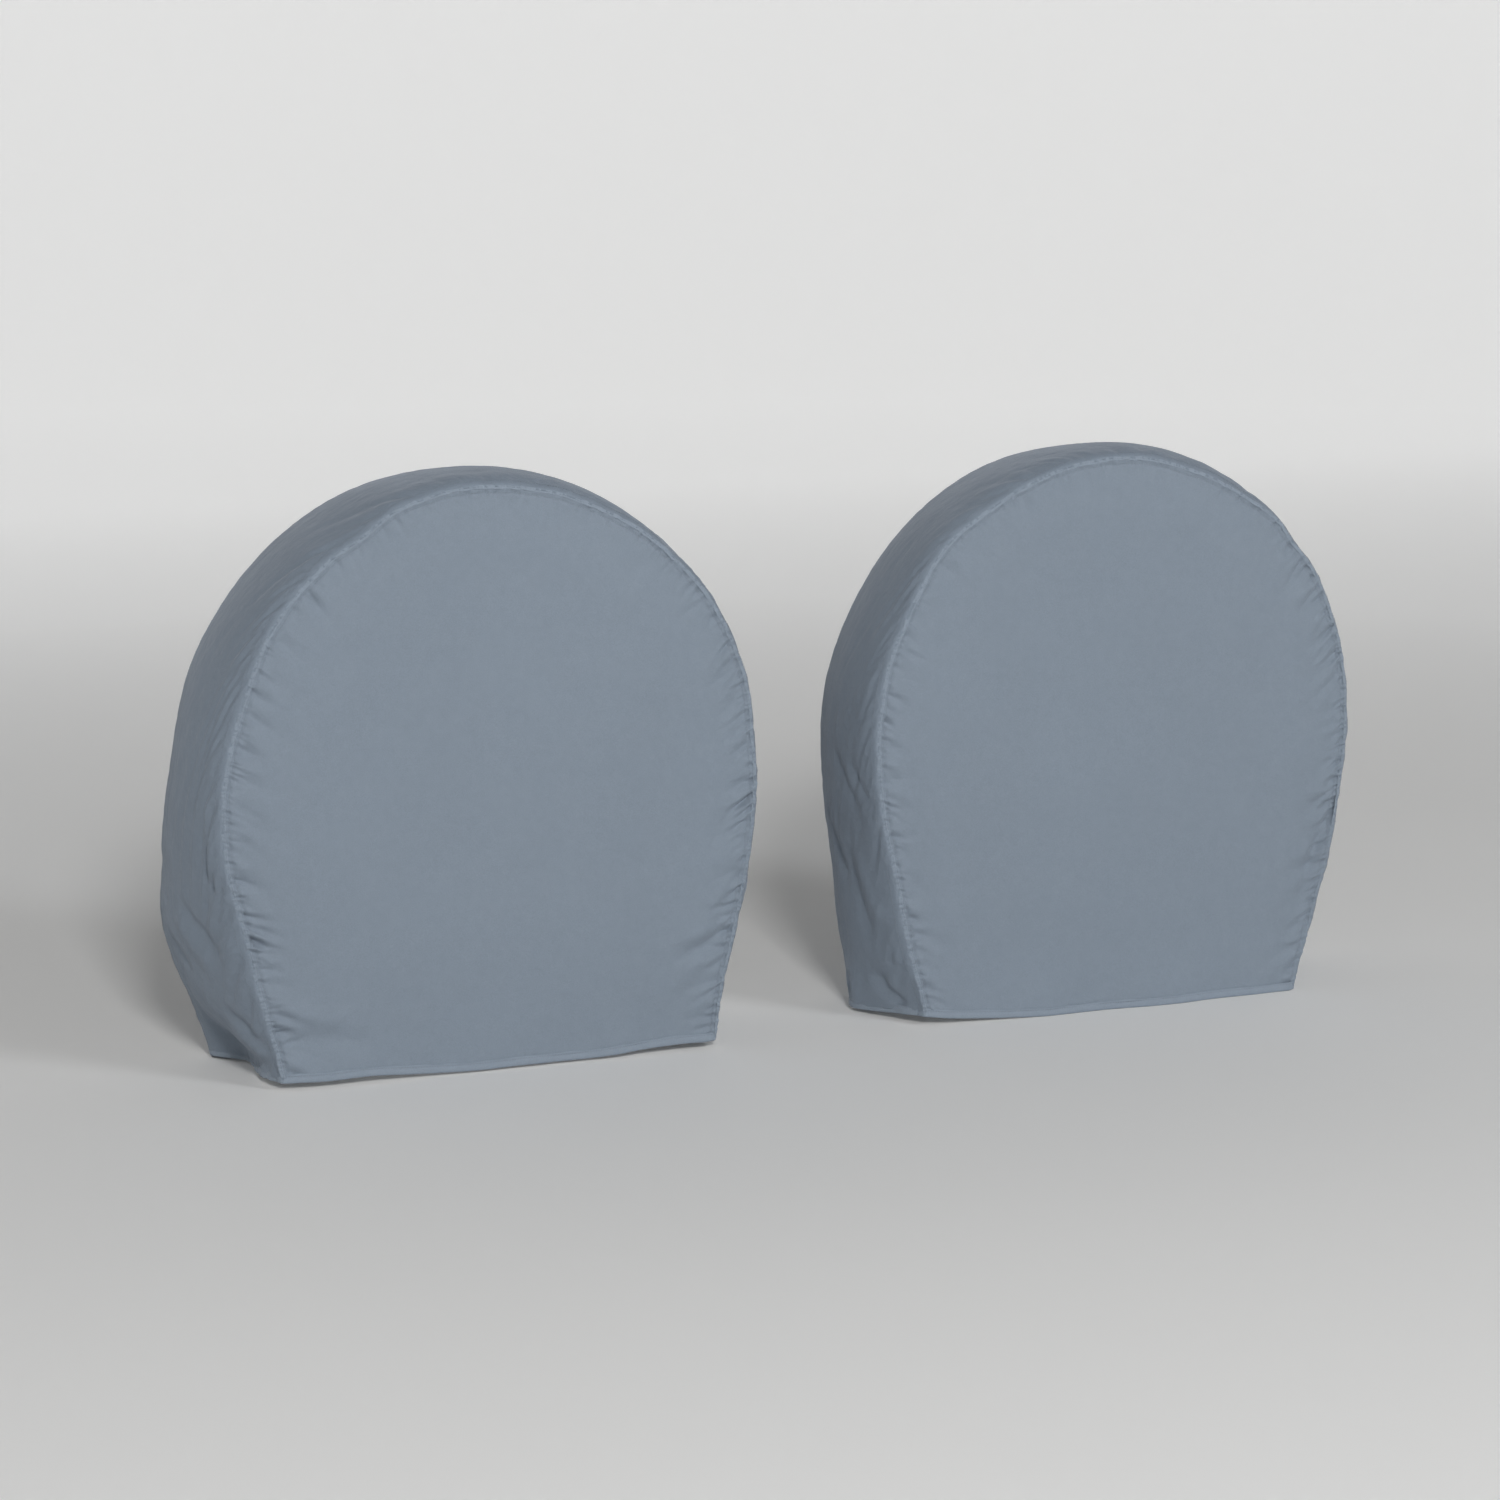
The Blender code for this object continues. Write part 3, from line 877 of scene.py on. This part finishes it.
def hem_strip(cover, node, line, outward):
    """A turned hem standing on the floor along line, which lies in the middle of its thickness at z = 0."""
    rng = cover.rng
    along = lengths_along(line)
    profile = np.repeat(HEM_PROFILE[None], len(along), 0)
    dimple = 0.5 + 0.5 * np.cos(2 * math.pi * along / STITCH_PITCH)
    profile[:, 3:6, 0] -= (0.30 * MM * dimple)[:, None] * np.array([0.6, 1.0, 0.5])
    profile[:, 1:4, 1] += (0.55 * MM * ripple(rng, along, 0.016))[:, None]
    profile[:, 6:9, 0] += (0.45 * MM * ripple(rng, along, 0.013))[:, None]
    profile[..., 0] += (0.5 * MM * ripple(rng, along, 0.028))[:, None]
    up = np.broadcast_to([0.0, 0.0, 1.0], line.shape)
    obj = swept_object(f"{cover.name}_{node}_fold", line, outward, up, profile, 0.026)
    finish_piece(obj, cover, "seam_cloth", node)
    return obj, line + outward * HEM_STITCH_OUT + up * HEM_STITCH_UP


def resample(line):
    """The same path with points FINE apart."""
    along = lengths_along(line)
    return read_path(np.linspace(0, along[-1], max(int(along[-1] / FINE), 8)), along, line)


def plan_outward(line, away_from):
    """Level unit vectors square to a path on the floor, pointing away from a point."""
    run = np.gradient(line, axis=0) * [1, 1, 0]
    out = unit(np.stack([run[:, 1], -run[:, 0], 0 * run[:, 0]], -1))
    flip = ((line - away_from) * out).sum(-1).mean() < 0
    return -out if flip else out


def band_end(cover, s):
    """The band's lower edge at one end of its outline, laid on the floor or as far off it as the cloth is."""
    y = np.linspace(0.2 * MM, cover.depth, 160)
    at = np.full(len(y), s)
    points, _ = cover.band_point(at, y, band_wrinkle(cover, at, y))
    points[:, 2] = cover.lift(points[:, 0] - cover.centre, points[:, 1], 0 * y)
    return points


def hems(cover):
    """The turned hems along the floor with their stitching: front, side and flange pieces."""
    core = np.array([cover.centre, (cover.front + cover.rear) / 2, 0])
    left, right = band_end(cover, 0.0), band_end(cover, cover.length)
    x = np.linspace(left[0, 0], right[0, 0], 400) - cover.centre
    y = panel_places(cover, x, np.full(len(x), PANEL_FOOT))[:, 1]
    front = np.stack([x + cover.centre, y, cover.lift(x, 0 * x + cover.front, 0 * x)], -1)

    # The front hem goes round both corners, which a running mean of five points rounds
    turn_left = left[(left[:, 1] - cover.front) < HEM_TURN][::-1]
    turn_right = right[(right[:, 1] - cover.front) < HEM_TURN]
    whole = resample(np.vstack([turn_left[:-1], front[4:-4], turn_right[1:]]))
    padded = np.pad(whole, ((2, 2), (0, 0)), mode="edge")
    whole = np.stack([np.convolve(padded[:, k], np.ones(5) / 5, "valid") for k in range(3)], -1)
    outward = plan_outward(whole, core)
    front_hem, line = hem_strip(cover, "front_hem", whole, outward)
    front_row = stitch_row(f"{cover.name}_front_hem_stitches", line, outward, cover.rng)
    finish_piece(front_row, cover, "thread", "front_hem_thread")

    side_pieces, flange_pieces = [], []
    for name, path, share in ((cover.touches["left_hem"], left, 0.0), (cover.touches["right_hem"], right, 1.0)):
        path = resample(path[(path[:, 1] - cover.front) >= HEM_TURN - 0.5 * MM])
        outward = plan_outward(path, core)
        hem, line = hem_strip(cover, f"{name}_side_hem", path, outward)
        row = stitch_row(f"{cover.name}_{name}_side_hem_stitches", line, outward, cover.rng)
        finish_piece(row, cover, "thread")
        side_pieces += [hem, row]
        reach = np.linspace(0, 1, 60)
        flat = np.stack([inset_places(cover, d * cover.flange_width, np.array([share]))[0] for d in reach])
        y = cover.rear + gather(cover, np.full(60, share), reach)
        path = resample(cover.to_frame(flat[:, 0], y, 0 * y) * [1, 1, 0])
        hem, _ = hem_strip(cover, f"{name}_flange_hem", path, plan_outward(path, core))
        flange_pieces.append(hem)
    return [front_hem, front_row], side_pieces, flange_pieces


def finish_piece(obj, cover, slot, *nodes):
    """Gives a piece its material and slot, hangs it on its body and lets it stand for its CAD nodes."""
    obj.data.materials.clear()
    obj.data.materials.append(MATERIALS[slot])
    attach(obj, cover.body)
    if nodes:
        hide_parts(*[f"{cover.name}_{node}" for node in nodes])


def build_cover(cover):
    """Draws the cover's random wrinkles and builds its pieces."""
    t = cover.touches
    rng = cover.rng
    length = cover.length
    # Noise and its height, then how far from the seam it comes in, or whether it slants as the cloth is dragged
    cover.panel_noise = [(Noise(rng, 0.16, 0.13), 0.9 * MM, 0.04), (Noise(rng, 0.06, 0.05), 0.35 * MM, 0.03),
                         (Noise(rng, 0.075, 0.022, creased=True), 0.16 * MM, 0.02)]
    cover.band_noise = [(Noise(rng, 0.11, 0.07), 1.2 * MM, False),
                        (Noise(rng, 0.060, 0.024, creased=True), 1.15 * MM, True),
                        (Noise(rng, 0.026, 0.012, creased=True), 0.72 * MM, True),
                        (Noise(rng, 0.014, 0.010, creased=True), 0.34 * MM, False)]
    cover.panel_puckers = [Puckers(rng, 0.0, length, gap, depth, reach, LEAN, t["panel_strength"], onset, base)
                           for gap, depth, reach, onset, base in PANEL_PUCKERS]
    cover.band_puckers = []
    for gap, depth, reach, slope in BAND_PUCKERS:
        lean = [(0, -slope), (0.42 * length, -slope), (0.58 * length, slope), (length, slope)]
        cover.band_puckers.append(
            Puckers(rng, 0, length, gap, depth, reach, lean, t["band_strength"], BAND_ONSET))
    cover.rear_puckers = Puckers(rng, 0.0, length, 0.016, 1.2 * MM, 0.035, [(0, 0), (length, 0)],
                                 [(0, 1), (length, 1)], 3 * MM)
    half = cover.places[-1, 0]
    cover.hem_puckers = Puckers(rng, -half, half, 0.012, 0.45 * MM, 0.02, [(-half, 0), (half, 0)],
                                [(-half, 1), (half, 1)], 3 * MM)
    at = np.linspace(0, length, 4000)
    cover.gather_at = at
    phase = 2 * math.pi * at / 0.0185 + 2.6 * ripple(rng, at, 0.06)
    cover.gather_fine = (np.sin(phase) * (0.75 + 0.35 * ripple(rng, at, 0.03)) + 0.45 * ripple(rng, at, 0.012))
    cover.gather_broad = ripple(rng, at, 0.07)

    panel, panel_line = front_panel(cover)
    band, band_lines = tread_band(cover)
    flange = rear_flange(cover)
    casing, cord = elastic(cover)
    front_ridge, rear_ridge = seams(cover)

    forward = np.broadcast_to([0.0, -1.0, 0.0], panel_line.shape)
    rows = []
    for name, (line, out), nodes in (("face", (panel_line, forward), ["face_seam_thread"]),
                                     ("band", band_lines[0], ["band_seam_thread"]),
                                     ("rear", band_lines[1], [])):
        rows.append(stitch_row(f"{cover.name}_{name}_stitches", line, out, rng))
        finish_piece(rows[-1], cover, "thread", *nodes)
    front_pieces, side_pieces, flange_pieces = hems(cover)


# Touches, in metres. Most are knots, a place and the value there:
# - front, rear, bulge: how far the band stands out at its front edge, its rear edge and between them, at s
# - left_foot, right_foot: how far it stands out at its two ends, at depths behind the front seam
# - foot_lift, foot_wave: how far the loose foot of the panel is off the floor and stands forward, at x
# - panel_strength, band_strength, band_drag: how deep the puckers and the band's slanting creases are, at s
# - panel_folds, band_folds: path, height, width and lean of single folds, on (x, z) and on (s, depth)
LEAN = [(0, -.45), (.40, -.45), (.60, -.1), (1.2, .1), (1.45, .5), (1.88, .6)]
LEFT = {
    "left_hem": "outer", "right_hem": "inner",
    "front": [(0, -.001), (.14, -.001), (.25, 0), (.35, .001), (.50, -.004), (.60, -.001), (.70, -.003),
        (.765, -.006), (.81, 0), (.87, .002), (.95, 0), (1.18, .002), (1.24, .005), (1.29, .006),
        (1.37, .005), (1.48, -.003), (1.57, -.004), (1.61, -.004), (1.655, -.001), (1.72, 0), (1.77, -.002),
        (1.82, 0), (1.88, .005)],
    "rear": [(0, .043), (.05, .047), (.10, .048), (.14, .0545), (.17, .057), (.20, .057), (.22, .054),
        (.25, .045), (.27, .038), (.30, .032), (.35, .022), (.40, .0155), (.45, .015), (.50, .0155),
        (.60, .011), (.78, .005), (.93, 0), (1.03, .004), (1.09, .008), (1.25, .004), (1.45, -.004),
        (1.60, 0), (1.75, .010), (1.88, .010)],
    "bulge": [(0, .010), (.06, .013), (.18, .016), (.30, .017), (.50, .015), (.75, .008), (1.10, .006),
        (1.40, .010), (1.70, .012), (1.88, .010)],
    "left_foot": [(0, 0), (.02, .004), (.05, .010), (.09, .009), (.12, .005), (.14, .004), (.158, .012),
        (.178, .032), (.19, .040), (.20, .043)],
    "right_foot": [(0, 0), (.05, .006), (.10, .012), (.15, .016), (.20, .012)],
    "foot_lift": [(-.29, .010), (-.22, .009), (-.17, .010), (-.12, .0065), (-.03, .003), (.02, .004),
        (.12, .004), (.18, .0075), (.24, .010), (.29, .0095)],
    "foot_wave": [(-.29, 0), (-.20, .002), (-.10, -.001), (0, .001), (.12, 0), (.155, .003), (.19, -.001),
        (.29, 0)],
    "panel_strength": [(0, 1.0), (.12, 1.2), (.28, 1.25), (.45, .85), (.70, .55), (.95, .5), (1.2, .7),
        (1.40, 1.0), (1.65, 1.1), (1.88, 1.0)],
    "band_strength": [(0, .9), (.30, 1.0), (.60, .8), (.95, .6), (1.3, .7), (1.88, .9)],
    "band_drag": [(0, .9), (.35, .9), (.50, .6), (.95, .5), (1.4, .7), (1.88, 1)],
    "panel_folds": [
        ([(-.330, .040), (-.300, .064), (-.280, .073), (-.258, .075)], -.0045, .006, .1),
        ([(-.325, .028), (-.296, .046), (-.275, .056), (-.250, .060)], -.0030, .005, .1),
        ([(-.300, .070), (-.25, .062), (-.21, .055), (-.15, .046)], -.0040, .017, .1),
        ([(-.29, .102), (-.24, .092), (-.19, .080)], .0034, .013, 0),
        ([(.335, .290), (.305, .230), (.268, .160), (.235, .090)], .0042, .018, .3),
    ],
    "band_folds": [
        ([(.06, .172), (.035, .14), (.022, .09), (.024, .04), (.03, .01)], -.005, .011, .1),
        ([(.345, .018), (.310, .030), (.275, .030), (.262, .020), (.256, .004)], -.0045, .008, .2),
        ([(.350, .006), (.310, .014), (.280, .014), (.266, .006)], .0025, .009, .0),
        ([(.255, .110), (.225, .080), (.20, .055), (.160, .038)], -.0045, .012, .2),
        ([(.235, .120), (.20, .090), (.165, .065), (.140, .055)], .0035, .014, .0),
        ([(.200, .160), (.175, .135), (.150, .105)], -.0035, .010, .1),
        ([(.115, .070), (.085, .040), (.060, .020), (.045, .008)], -.0045, .010, .2),
        ([(.085, .075), (.055, .045), (.035, .022), (.025, .010)], .0040, .013, .0),
    ],
}
RIGHT = {
    "left_hem": "inner", "right_hem": "outer",
    "front": [(0, -.005), (.14, -.005), (.32, -.005), (.40, 0), (.47, .004), (.60, .007), (.645, .011),
        (.69, .009), (.73, .004), (.81, .002), (.95, 0), (1.14, 0), (1.20, .005), (1.24, .001), (1.28, .004),
        (1.37, .002), (1.44, -.001), (1.49, -.003), (1.60, -.008), (1.69, -.003), (1.76, -.006),
        (1.82, -.009), (1.88, -.012)],
    "rear": [(0, .012), (.03, .016), (.06, .013), (.12, .009), (.20, -.001), (.25, -.004), (.30, -.007),
        (.35, -.007), (.38, -.006), (.45, -.005), (.50, -.007), (.58, -.0095), (.80, -.009), (.95, -.006),
        (1.02, .004), (1.07, .014), (1.12, .019), (1.25, .014), (1.45, .014), (1.60, .028), (1.69, .038),
        (1.80, .042), (1.88, .036)],
    "bulge": [(0, .022), (.06, .024), (.12, .026), (.20, .022), (.34, .017), (.50, .015), (.75, .008),
        (1.10, .006), (1.40, .010), (1.70, .012), (1.88, .010)],
    "left_foot": [(0, 0), (.04, .017), (.085, .038), (.110, .048), (.125, .046), (.15, .032), (.20, .012)],
    "right_foot": [(0, 0), (.05, .006), (.10, .014), (.15, .026), (.20, .036)],
    "foot_lift": [(-.29, .013), (-.24, .008), (-.17, .003), (-.10, 0), (.28, 0)],
    "foot_wave": [(-.29, 0), (-.20, .002), (-.10, .007), (-.03, .003), (.05, .008), (.095, .009), (.14, .004),
        (.20, .003), (.29, .003)],
    "panel_strength": [(0, 1.0), (.12, 1.1), (.28, 1.0), (.45, .75), (.70, .6), (.95, .45), (1.2, .7),
        (1.40, 1.05), (1.65, 1.1), (1.88, 1.0)],
    "band_strength": [(0, .6), (.30, .65), (.60, .6), (.95, .6), (1.3, .7), (1.88, .9)],
    "band_drag": [(0, .8), (.35, .8), (.50, .6), (.95, .5), (1.4, .7), (1.88, 1)],
    "panel_folds": [
        ([(.350, .285), (.322, .238), (.308, .212), (.298, .185), (.285, .150), (.275, .10)], -.0055, .009, .2),
        ([(.335, .235), (.318, .200), (.304, .165)], .0034, .009, 0),
    ],
    "band_folds": [
        ([(.385, .110), (.335, .070), (.300, .045), (.260, .036)], -.0032, .010, .2),
        ([(.370, .060), (.330, .030), (.300, .010)], -.0024, .008, .1),
        ([(.280, .140), (.215, .100), (.175, .090)], -.0045, .012, .1),
        ([(.255, .055), (.200, .048), (.160, .032), (.135, .018)], .0035, .012, .0),
        ([(.240, .080), (.190, .072), (.140, .055), (.100, .050)], -.0035, .011, .1),
        ([(.075, .058), (.040, .050), (.020, .034), (.012, .016)], -.0060, .010, .2),
        ([(.060, .125), (.030, .120), (.010, .122)], -.0030, .006, .0),
    ],
}

for cover in (Cover("left", 11, LEFT), Cover("right", 23, RIGHT)):
    build_cover(cover)


# Floor, light and camera ------------------------------------------------------------------------------------

def paper_material():
    """Matt studio paper that glows more the further it lies from the covers, most of all behind them."""
    n = Nodes("studio_paper")
    own = n.add("ShaderNodeTexCoord").outputs["Object"]
    n.shader.inputs["Base Color"].default_value = (0.77, 0.77, 0.765, 1)
    n.shader.inputs["Specular IOR Level"].default_value = 0.2
    n.join(n.spread(n.noise(own, 40.0), 0.86, 0.94), n.shader.inputs["Roughness"])
    n.shader.inputs["Emission Color"].default_value = (1, 1, 1, 1)
    away = n.add("ShaderNodeVectorMath", operation="LENGTH")
    n.join(own, away.inputs[0])
    split = n.add("ShaderNodeSeparateXYZ")
    n.join(own, split.inputs[0])
    # Painted light: the paper glows though it is no lamp, weakly near the covers, which paints a soft shade
    # round them, and most behind them.
    glow = n.spread(away.outputs["Value"], 0.06, 0.32, 0.8, 4.0)
    behind = n.spread(split.outputs["Y"], 0.2, 1.1, 1.0, 6.0)
    n.join(n.math("MULTIPLY", glow, behind), n.shader.inputs["Emission Strength"])
    return n.material


def add_stage():
    """A round pale floor that sweeps up into a wall on every side."""
    bend = np.linspace(0, math.pi / 2, 16)
    radius = np.append(FLOOR_RADIUS + FLOOR_SWEEP * np.sin(bend), FLOOR_RADIUS + FLOOR_SWEEP)
    z = np.append(FLOOR_SWEEP * (1 - np.cos(bend)), WALL_TOP)
    turn = np.linspace(0, 2 * math.pi, 97)[:-1]
    x, y = radius[:, None] * np.cos(turn), radius[:, None] * np.sin(turn)
    points = np.stack(np.broadcast_arrays(x, y, z[:, None]), -1)
    faces = quads(len(z), len(turn), wrap=True).tolist() + [list(range(len(turn)))[::-1]]
    obj = mesh_object("studio_floor", points, faces)
    face_outwards(obj, lambda centres: np.array([0, 0, WALL_TOP / 2]) - centres)
    obj.data.materials.append(paper_material())


def add_light(name, place, size, power, colour):
    """A square light that looks at the middle of the covers."""
    data = bpy.data.lights.new(name, "AREA")
    data.shape = "SQUARE"
    data.size = size
    data.energy = power
    data.color = colour
    obj = bpy.data.objects.new(name, data)
    obj.location = place
    obj.rotation_euler = (Vector((0.0, 0.0, 0.35)) - Vector(place)).to_track_quat("-Z", "Y").to_euler()
    bpy.context.scene.collection.objects.link(obj)


def add_world():
    """Faint light from overhead, where the stage is open."""
    world = bpy.data.worlds.new("studio_world")
    world.use_nodes = True
    background = world.node_tree.nodes["Background"]
    background.inputs["Color"].default_value = (0.93, 0.96, 1.0, 1)
    background.inputs["Strength"].default_value = 0.04
    bpy.context.scene.world = world


def add_camera():
    """A camera at the photograph's place and angle, fitted to both covers' outlines."""
    data = bpy.data.cameras.new("camera")
    data.sensor_width = 36
    data.lens = 91.72
    data.clip_end = 100
    obj = bpy.data.objects.new("camera", data)
    seam_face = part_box("left_front_seam")[0].y
    yaw, pitch, roll = 0.37120, 0.18076, -0.0023
    place = Vector((-1.8287, seam_face - 4.4558, 1.2609))
    forward = Vector((math.sin(yaw) * math.cos(pitch), math.cos(yaw) * math.cos(pitch), -math.sin(pitch)))
    right = Vector((math.cos(yaw), -math.sin(yaw), 0))
    up = right.cross(forward)
    turned_right = right * math.cos(roll) + up * math.sin(roll)
    turned_up = up * math.cos(roll) - right * math.sin(roll)
    turn = Matrix((turned_right, turned_up, -forward)).transposed()
    obj.matrix_world = Matrix.Translation(place) @ turn.to_4x4()
    bpy.context.scene.collection.objects.link(obj)
    bpy.context.scene.camera = obj


add_stage()
add_light("key_light", (-1.6, -7.2, 4.1), 1.3, 350, (1.0, 0.99, 0.975))
add_light("fill_light", (4.2, -7.0, 5.0), 2.0, 190, (0.96, 0.98, 1.0))
add_world()
bpy.context.scene.view_settings.view_transform = "Standard"
add_camera()
